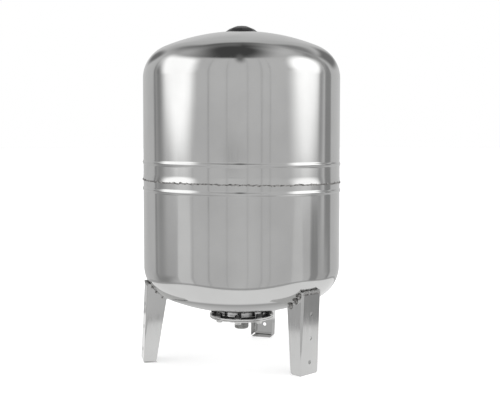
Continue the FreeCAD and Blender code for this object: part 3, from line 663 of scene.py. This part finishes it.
def makeBolts(s):
    head = hexPrism("boltHead", s, s["headLow"], s["plate"])
    # the shank is spun with a chamfered tip and a few turns of thread below it
    section = [(0, s["plate"] - s["sink"]), (s["shank"], s["plate"] - s["sink"])]
    threadLow = s["rim"] + s["washer"] + s["threadGap"]
    section.append((s["shank"], threadLow))
    level = threadLow
    while level + s["threadPitch"] < s["tip"] - s["threadDepth"]:
        section.append((s["shank"] - s["threadDepth"], level + s["threadPitch"] / 2))
        section.append((s["shank"], level + s["threadPitch"]))
        level += s["threadPitch"]
    section += [(s["shank"] - s["threadDepth"], s["tip"]), (0, s["tip"])]
    shank = spinProfile("boltShank", section, s["shankSteps"])
    bolt = joinPieces([head, shank], "bolt")
    bolts = ringCopies(bolt, s, "flangeBolts")
    smoothShade(bolts, 25)
    finishPiece(bolts, fastenerSteel, "fastener_steel", "flange_bolts")


def makeWashers(s):
    low, high, edge = s["rim"], s["rim"] + s["washer"], s["washerEdge"]
    section = [(s["bore"], low), (s["washerRadius"] - edge, low), (s["washerRadius"], low + edge),
               (s["washerRadius"], high - edge), (s["washerRadius"] - edge, high), (s["bore"], high),
               (s["bore"], low)]
    washers = ringCopies(spinProfile("washer", section, s["washerSteps"]), s, "flangeWashers")
    smoothShade(washers, 25)
    finishPiece(washers, fastenerSteel, "fastener_steel", "flange_washers")


def makeNuts(s):
    low = s["rim"] + s["washer"]
    high = low + s["nut"]
    nut = hexPrism("nut", s, low, high)
    # the cutter runs past both faces and flares towards them
    bore, past, flare = s["bore"], s["sink"], s["boreFlare"]
    section = [(0, low - past), (bore + past, low - past), (bore, low + flare),
               (bore, high - flare), (bore + past, high + past), (0, high + past)]
    cutter = spinProfile("nutBore", section, s["shankSteps"])
    applyModifier(nut, "BOOLEAN", operation="DIFFERENCE", object=cutter, solver="EXACT")
    bpy.data.objects.remove(cutter)
    nuts = ringCopies(nut, s, "flangeNuts")
    smoothShade(nuts, 25)
    # the nuts' near-black colour is painted shade
    finishPiece(nuts, nutShadeSteel, "fastener_steel", "flange_nuts")


makeBolts(fasteners)
makeWashers(fasteners)
makeNuts(fasteners)
print("fasteners made")


# The moulded cap: a round rim with a thin skirt, two sloped bands of eight facets and a flat top
cap = {"skirtLow": 0.7470, "seat": 0.7496, "shoulder": 0.7499, "seatRadius": 0.03605,
       "rimRadius": 0.0365, "lowRadius": 0.0362, "midRadius": 0.0285, "midLevel": 0.7557, "topRadius": 0.0135,
       "topLevel": 0.7616, "facets": 8, "turn": 3, "edge": 0.0008, "edgeSegments": 2, "edgeFrom": 12, "round": 0.0005,
       "rimShare": 0.9, "rimLap": 0.0001, "rimSteps": 96}


def makeCap(s):
    clearSelection()
    tiers = ((s["lowRadius"], s["shoulder"]), (s["midRadius"], s["midLevel"]), (s["topRadius"], s["topLevel"]))
    bpy.ops.mesh.primitive_circle_add(vertices=s["facets"], radius=tiers[0][0], fill_type="NGON",
                                      location=(0, 0, tiers[0][1]))
    crown = settle(bpy.context.object, "capCrown")
    editMode(crown, "FACE")
    bpy.ops.mesh.select_all(action="SELECT")
    bpy.ops.transform.rotate(value=math.radians(-s["turn"] - 90), orient_axis="Z", center_override=(0, 0, 0))
    for before, after in zip(tiers, tiers[1:]):
        bpy.ops.mesh.extrude_region_move(TRANSFORM_OT_translate={"value": (0, 0, after[1] - before[1])})
        scale = after[0] / before[0]
        bpy.ops.transform.resize(value=(scale, scale, 1), center_override=(0, 0, after[1]))
    bpy.ops.mesh.select_all(action="SELECT")
    bpy.ops.mesh.normals_make_consistent(inside=False)
    objectMode()
    applyModifier(crown, "BEVEL", width=s["edge"], segments=s["edgeSegments"], limit_method="ANGLE",
                  angle_limit=math.radians(s["edgeFrom"]))
    # the round rim comes down over the seat as a thin skirt
    edge, top, inside, under = s["round"], s["shoulder"], s["lowRadius"] * s["rimShare"], s["seat"] + s["rimLap"]
    section = [(s["seatRadius"], s["skirtLow"]), (s["rimRadius"], s["skirtLow"]), (s["rimRadius"], top - edge),
               (s["rimRadius"] - edge, top), (inside, top), (inside, under),
               (s["seatRadius"], under), (s["seatRadius"], s["skirtLow"])]
    rim = spinProfile("capRim", section, s["rimSteps"])
    piece = joinPieces([crown, rim], "topCap")
    smoothShade(piece, 20)
    finishPiece(piece, blackPlastic, "cap_plastic", "top_cap")


makeCap(cap)
print("cap made")


# The studio: a pale sheet on the floor, a dark ceiling, two soft boxes and a lamp overhead
floorSettings = {"size": 60.0, "paper": (0.86, 0.86, 0.86), "lift": 0.62,
                 "sheetPlace": (0.102, 0.008), "sheetTurn": -42.67, "halfWidth": 0.580, "halfDepth": 0.487,
                 "squareness": 3.8, "sheetSoft": 0.018, "sheetLevel": 0.98,
                 "edgeWidth": 0.11, "edgeSoft": 0.06, "edgeLevel": 0.48,
                 "shadePlace": (0.103, 0.082), "shadeRadius": 0.275, "shadeSoft": 0.022, "shadeLevel": 0.60,
                 "rimWidth": 0.04, "rimLevel": 0.50}
worldSettings = {"wall": 0.67, "cameraWhite": 1.0}
# Panels as (azimuth, elevation, half width, half height, lean, slope, squareness, softness, level), in degrees
# as seen from the tank, with azimuth 0 towards the camera and positive to its right
studioPanels = [
    (177, 24.8, 33, 20.9, -0.114, -0.302, 6.34, 0.04, 0.646),
    (-183, 4.46, 25.2, 44.2, -2.7, 0.0373, 5.87, 0.234, 0.633),
    (12, 22, 48, 23, 0, 0, 4, 0.12, 0.71),
    (8.19, 101, 400, 52.9, 0, 0.0175, 8, 0.0712, 0.0782),
    (-117, 51.4, 47.9, 16.3, 0.175, -0.183, 3.53, 0.9, 0.588),
    (85.8, 57.1, 45.8, 18.2, 1.74, -0.0791, 4.39, 0.9, 0.684),
    (-153, 59.4, 29.8, 18, 0.164, 0.124, 2, 0.9, 0.146),
    (136, 49.1, 25.2, 11.7, 1.88, 0.137, 2.18, 0.9, 0.307),
    (-179, 47.8, 32.8, 14.7, 0.285, -0.0509, 7.56, 0.318, 0.616),
    (181, 46.8, 31.6, 14.6, -0.0551, -0.0668, 9, 0.284, 0.623),
    (-2.26, 47.4, 5.68, 12.2, -0.0989, 0.0205, 2, 0.832, 0.196),
    (-6, -1.4, 12, 0.75, 0, 0, 2, 0.7, 0.47),
    (-88, 22.6, 31.3, 19.6, -0.143, 0.0569, 3.92, 0.276, 1.67),
    (-76.4, 6.63, 18.7, 8.26, -0.231, -0.0113, 2, 0.427, 1.65),
    (83.4, 23, 23.1, 21.1, 0.205, -0.194, 2.16, 0.346, 1.85),
    (78.9, 7.23, 17.2, 8.46, 0.346, 0.0191, 2, 0.627, 1.66),
    (-117, -1.29, 2.13, 22.3, -0.226, -0.119, 9, 0.452, 0.378),
    (-111, 8.73, 8.32, 16.2, -0.272, -0.299, 2, 0.9, 0.3),
    (116, 18.3, 3.71, 44.2, 0.0944, 0.509, 9, 0.14, 0.451),
    (118, -3.66, 6.74, 21.7, -0.0436, 1.91, 4.74, 0.245, 0.342),
    (102, -0.0237, 3.26, 16.6, 0.323, 0.23, 2, 0.9, 0.435),
    (145, 22.5, 14.3, 9.58, -0.41, -0.0606, 9, 0.408, 0.223),
    (-148, 23.2, 11.9, 7.52, -0.0748, 0.527, 2, 0.506, 0.21),
    (-105, -20.2, 16.2, 11.5, 0.959, -0.0723, 9, 0.9, 0.349),
    (102, -19.1, 14.3, 12.4, 0.171, -0.0994, 9, 0.308, 0.549),
    (-68.4, -18, 8.87, 15.5, -0.0424, -0.0952, 9, 0.097, 0.818),
    (67.4, -15.6, 8.08, 12.9, -0.176, 0.442, 3.16, 0.135, 0.788),
    (-0.59, -34.6, 10.9, 33.6, 0.153, 0.442, 9, 0.9, 0.715),
    (92, -13, 6.5, 9, 0, 0, 6, 0.2, 0.36),
]
# the thin dark gaps between the panels of the front wall, as (azimuth, elevation, half height, level)
frontGaps = {"lines": ((-57.1, -24, 20, 0.53), (-37.6, -3, 42, 0.50), (-16.4, -3, 42, 0.58), (6.7, -3, 42, 0.60),
                       (22.6, -3, 42, 0.56), (32.4, -3, 42, 0.58)),
             "width": 0.8, "squareness": 6, "softness": 0.5}


def panelMask(tree, azimuth, elevation, panel):
    # 1 inside a panel with rounded corners, which may lean to the side or slope
    middle, height, halfWidth, halfHeight, leaning, slope, squareness, softness = panel
    across = mathNode(tree, "MULTIPLY_ADD", elevation, -leaning, azimuth)
    across = mathNode(tree, "MULTIPLY_ADD", across, 1 / halfWidth, (leaning * height - middle) / halfWidth)
    up = mathNode(tree, "MULTIPLY_ADD", azimuth, -slope, elevation)
    up = mathNode(tree, "MULTIPLY_ADD", up, 1 / halfHeight, (slope * middle - height) / halfHeight)
    powers = [mathNode(tree, "POWER", mathNode(tree, "ABSOLUTE", part), squareness) for part in (across, up)]
    reach = mathNode(tree, "POWER", mathNode(tree, "ADD", *powers), 1 / squareness)
    return mathNode(tree, "SUBTRACT", 1, softStep(tree, reach, 1, softness))


def makeWorld(s):
    world = bpy.data.worlds.new("studio")
    world.use_nodes = True
    scene.world = world
    tree = world.node_tree
    background = tree.nodes["Background"]
    place = linkedNode(tree, "ShaderNodeTexCoord")
    turn = linkedNode(tree, "ShaderNodeVectorRotate", rotation_type="Z_AXIS")
    turn.inputs["Angle"].default_value = math.radians(-90 - cameraSettings["azimuth"])
    parts = linkedNode(tree, "ShaderNodeSeparateXYZ")
    tree.links.new(place.outputs["Generated"], turn.inputs["Vector"])
    tree.links.new(turn.outputs["Vector"], parts.inputs["Vector"])
    front = mathNode(tree, "MULTIPLY", parts.outputs["Y"], -1)
    azimuth = mathNode(tree, "DEGREES", mathNode(tree, "ARCTAN2", parts.outputs["X"], front))
    elevation = mathNode(tree, "DEGREES", mathNode(tree, "ARCSINE", parts.outputs["Z"]))
    level = s["wall"]
    gaps = [(across, up, frontGaps["width"], height, 0, 0, frontGaps["squareness"], frontGaps["softness"], shade)
            for across, up, height, shade in frontGaps["lines"]]
    for *panel, shade in studioPanels + gaps:
        mask = panelMask(tree, azimuth, elevation, panel)
        level = mathNode(tree, "MULTIPLY_ADD", mask, mathNode(tree, "SUBTRACT", shade, level), level)
    tree.links.new(level, background.inputs["Strength"])
    background.inputs["Color"].default_value = (1, 1, 1, 1)
    white = linkedNode(tree, "ShaderNodeBackground")
    white.inputs["Strength"].default_value = s["cameraWhite"]
    white.inputs["Color"].default_value = (1, 1, 1, 1)
    rays = linkedNode(tree, "ShaderNodeLightPath")
    mix = linkedNode(tree, "ShaderNodeMixShader")
    tree.links.new(rays.outputs["Is Camera Ray"], mix.inputs["Fac"])
    tree.links.new(background.outputs[0], mix.inputs[1])
    tree.links.new(white.outputs[0], mix.inputs[2])
    tree.links.new(mix.outputs[0], tree.nodes["World Output"].inputs["Surface"])


def distanceFrom(tree, place, x, y):
    distance = linkedNode(tree, "ShaderNodeVectorMath", operation="DISTANCE")
    distance.inputs[1].default_value = (x, y, 0)
    tree.links.new(place, distance.inputs[0])
    return distance.outputs["Value"]


def makeFloor(s):
    clearSelection()
    bpy.ops.mesh.primitive_plane_add(size=s["size"])
    floor = settle(bpy.context.object, "floor")
    material = bpy.data.materials.new("paleSheet")
    material.use_nodes = True
    tree = material.node_tree
    tree.nodes.remove(tree.nodes["Principled BSDF"])
    rays = linkedNode(tree, "ShaderNodeLightPath")
    place = linkedNode(tree, "ShaderNodeTexCoord")
    # how far a point lies outside the sheet, whose corners are rounded, as a share of its size
    angle = math.radians(s["sheetTurn"])
    powers = []
    for half, x, y in ((s["halfWidth"], math.cos(angle), math.sin(angle)),
                       (s["halfDepth"], -math.sin(angle), math.cos(angle))):
        along = linkedNode(tree, "ShaderNodeVectorMath", operation="DOT_PRODUCT")
        along.inputs[1].default_value = (x / half, y / half, 0)
        tree.links.new(place.outputs["Object"], along.inputs[0])
        middle = (s["sheetPlace"][0] * x + s["sheetPlace"][1] * y) / half
        reach = mathNode(tree, "ABSOLUTE", mathNode(tree, "SUBTRACT", along.outputs["Value"], middle))
        powers.append(mathNode(tree, "POWER", reach, s["squareness"]))
    reach = mathNode(tree, "POWER", mathNode(tree, "ADD", *powers), 1 / s["squareness"])
    away = mathNode(tree, "SUBTRACT", reach, 1)
    # plain paper that keeps the shadow, lifted to white where the camera sees it
    paper = linkedNode(tree, "ShaderNodeBsdfDiffuse")
    paper.inputs["Color"].default_value = (*s["paper"], 1)
    lift = linkedNode(tree, "ShaderNodeEmission")
    tree.links.new(mathNode(tree, "MULTIPLY", rays.outputs["Is Camera Ray"], s["lift"]), lift.inputs["Strength"])
    sheet = linkedNode(tree, "ShaderNodeAddShader")
    tree.links.new(paper.outputs[0], sheet.inputs[0])
    tree.links.new(lift.outputs[0], sheet.inputs[1])
    # what the steel mirrors: the sheet with the shade under the tank, its darker edge, and the studio beyond
    outside = softStep(tree, away, 0.0, s["sheetSoft"])
    beyond = softStep(tree, away, s["edgeWidth"], s["edgeSoft"])
    mirrored = linkedNode(tree, "ShaderNodeEmission")
    shade = distanceFrom(tree, place.outputs["Object"], *s["shadePlace"])
    level = softStep(tree, shade, s["shadeRadius"], s["shadeSoft"])
    level = mathNode(tree, "MULTIPLY_ADD", level, s["sheetLevel"] - s["shadeLevel"], s["shadeLevel"])
    rim = softBand(tree, shade, s["shadeRadius"] - s["rimWidth"], s["shadeRadius"], s["shadeSoft"])
    level = mathNode(tree, "MULTIPLY_ADD", rim, mathNode(tree, "SUBTRACT", s["rimLevel"], level), level)
    level = mathNode(tree, "MULTIPLY_ADD", outside, mathNode(tree, "SUBTRACT", s["edgeLevel"], level), level)
    tree.links.new(level, mirrored.inputs["Strength"])
    through = linkedNode(tree, "ShaderNodeBsdfTransparent")
    seen = linkedNode(tree, "ShaderNodeMixShader")
    tree.links.new(beyond, seen.inputs["Fac"])
    tree.links.new(mirrored.outputs[0], seen.inputs[1])
    tree.links.new(through.outputs[0], seen.inputs[2])
    choice = linkedNode(tree, "ShaderNodeMixShader")
    tree.links.new(rays.outputs["Is Glossy Ray"], choice.inputs["Fac"])
    tree.links.new(sheet.outputs[0], choice.inputs[1])
    tree.links.new(seen.outputs[0], choice.inputs[2])
    tree.links.new(choice.outputs[0], tree.nodes["Material Output"].inputs["Surface"])
    floor.data.materials.append(material)


lampSettings = {"size": 1.6, "height": 2.6, "power": 22.0}


def makeLamp(s):
    data = bpy.data.lights.new("overheadLamp", "AREA")
    data.size = s["size"]
    data.energy = s["power"]
    lamp = bpy.data.objects.new("overheadLamp", data)
    lamp.location = (0, 0, s["height"])
    lamp.visible_glossy = False
    lamp.visible_camera = False
    scene.collection.objects.link(lamp)


makeWorld(worldSettings)
makeFloor(floorSettings)
makeLamp(lampSettings)
scene.view_settings.view_transform = "Standard"
print("studio made")
